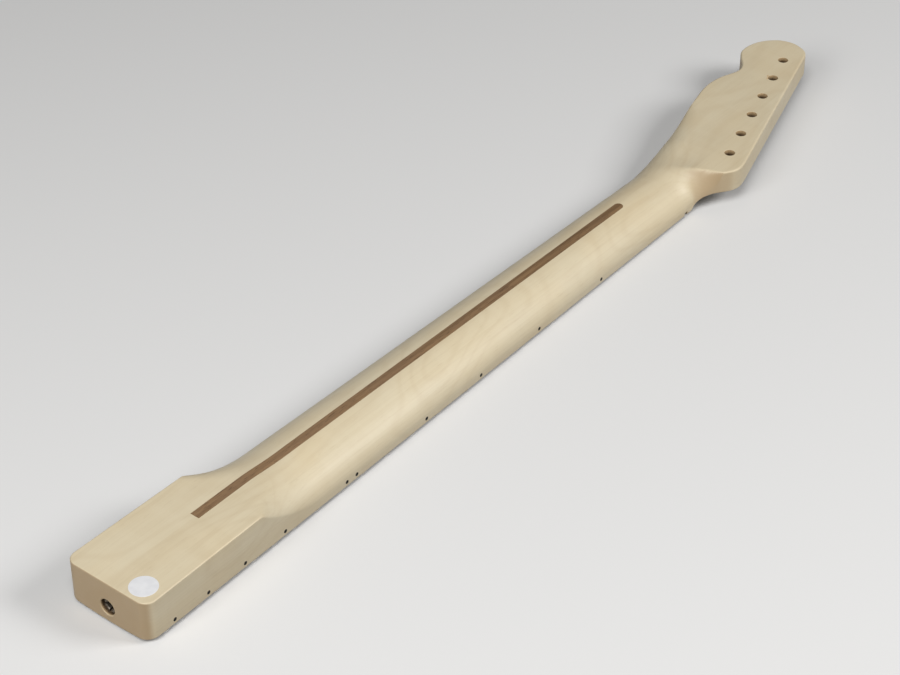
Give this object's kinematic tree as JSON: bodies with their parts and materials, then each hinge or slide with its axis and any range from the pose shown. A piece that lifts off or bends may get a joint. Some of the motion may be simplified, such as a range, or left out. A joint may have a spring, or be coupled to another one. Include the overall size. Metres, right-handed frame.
{
  "type": "electric guitar neck",
  "caption": "Bolt-on electric guitar neck, back up: frets, rear filler strip, adjustable truss rod and a headstock bored for in-line tuners.",
  "frame": {"origin": "centre of the heel's flat back, 38 mm from the heel end, on the centre line", "axes": "+X from the heel to the headstock, +Y to the treble side, +Z out of the back; the neck lies on its frets"},
  "size_m": [0.6503, 0.0773, 0.0265],
  "materials": {
    "maple": "thin satin lacquer over light maple",
    "walnut": "thin satin lacquer over walnut",
    "rod_steel": "plain turned",
    "nut_steel": "dull, slotted",
    "fret_wire": "polished",
    "black_dot": "satin",
    "white_paper": "coated paper, blank"
  },
  "bodies": {
    "neck": {"neck_blank": "maple", "filler_strip": "walnut", "anchor_plug": "walnut", "truss_rod": "rod_steel", "truss_anchor": "rod_steel", "fret_01": "fret_wire", "fret_02": "fret_wire", "fret_03": "fret_wire", "fret_04": "fret_wire", "fret_05": "fret_wire", "fret_06": "fret_wire", "fret_07": "fret_wire", "fret_08": "fret_wire", "fret_09": "fret_wire", "fret_10": "fret_wire", "fret_11": "fret_wire", "fret_12": "fret_wire", "fret_13": "fret_wire", "fret_14": "fret_wire", "fret_15": "fret_wire", "fret_16": "fret_wire", "fret_17": "fret_wire", "fret_18": "fret_wire", "fret_19": "fret_wire", "fret_20": "fret_wire", "fret_21": "fret_wire", "side_dot_3": "black_dot", "side_dot_5": "black_dot", "side_dot_7": "black_dot", "side_dot_9": "black_dot", "side_dot_12_head": "black_dot", "side_dot_12_heel": "black_dot", "side_dot_15": "black_dot", "side_dot_17": "black_dot", "side_dot_19": "black_dot", "side_dot_21": "black_dot", "face_dot_3": "black_dot", "face_dot_5": "black_dot", "face_dot_7": "black_dot", "face_dot_9": "black_dot", "face_dot_12_treble": "black_dot", "face_dot_12_bass": "black_dot", "face_dot_15": "black_dot", "face_dot_17": "black_dot", "face_dot_19": "black_dot", "face_dot_21": "black_dot", "heel_sticker": "white_paper"},
    "truss_carriage": {"truss_washer": "rod_steel"},
    "truss_nut": {"truss_nut": "nut_steel"}
  },
  "joints": [
    {"name": "truss_advance", "type": "slide", "parent": "neck", "child": "truss_carriage", "axis": [1, 0, 0], "range_m": [-0.00159, 0]},
    {"name": "truss_turn", "type": "hinge", "parent": "truss_carriage", "child": "truss_nut", "pos_m": [-0.03, 0, -0.0162], "axis": [1, 0, 0], "range_deg": [-720, 0]}
  ],
  "couplings": [
    {"joint": "truss_turn", "follows": "truss_advance", "rad_per_m": 7915.8}
  ]
}
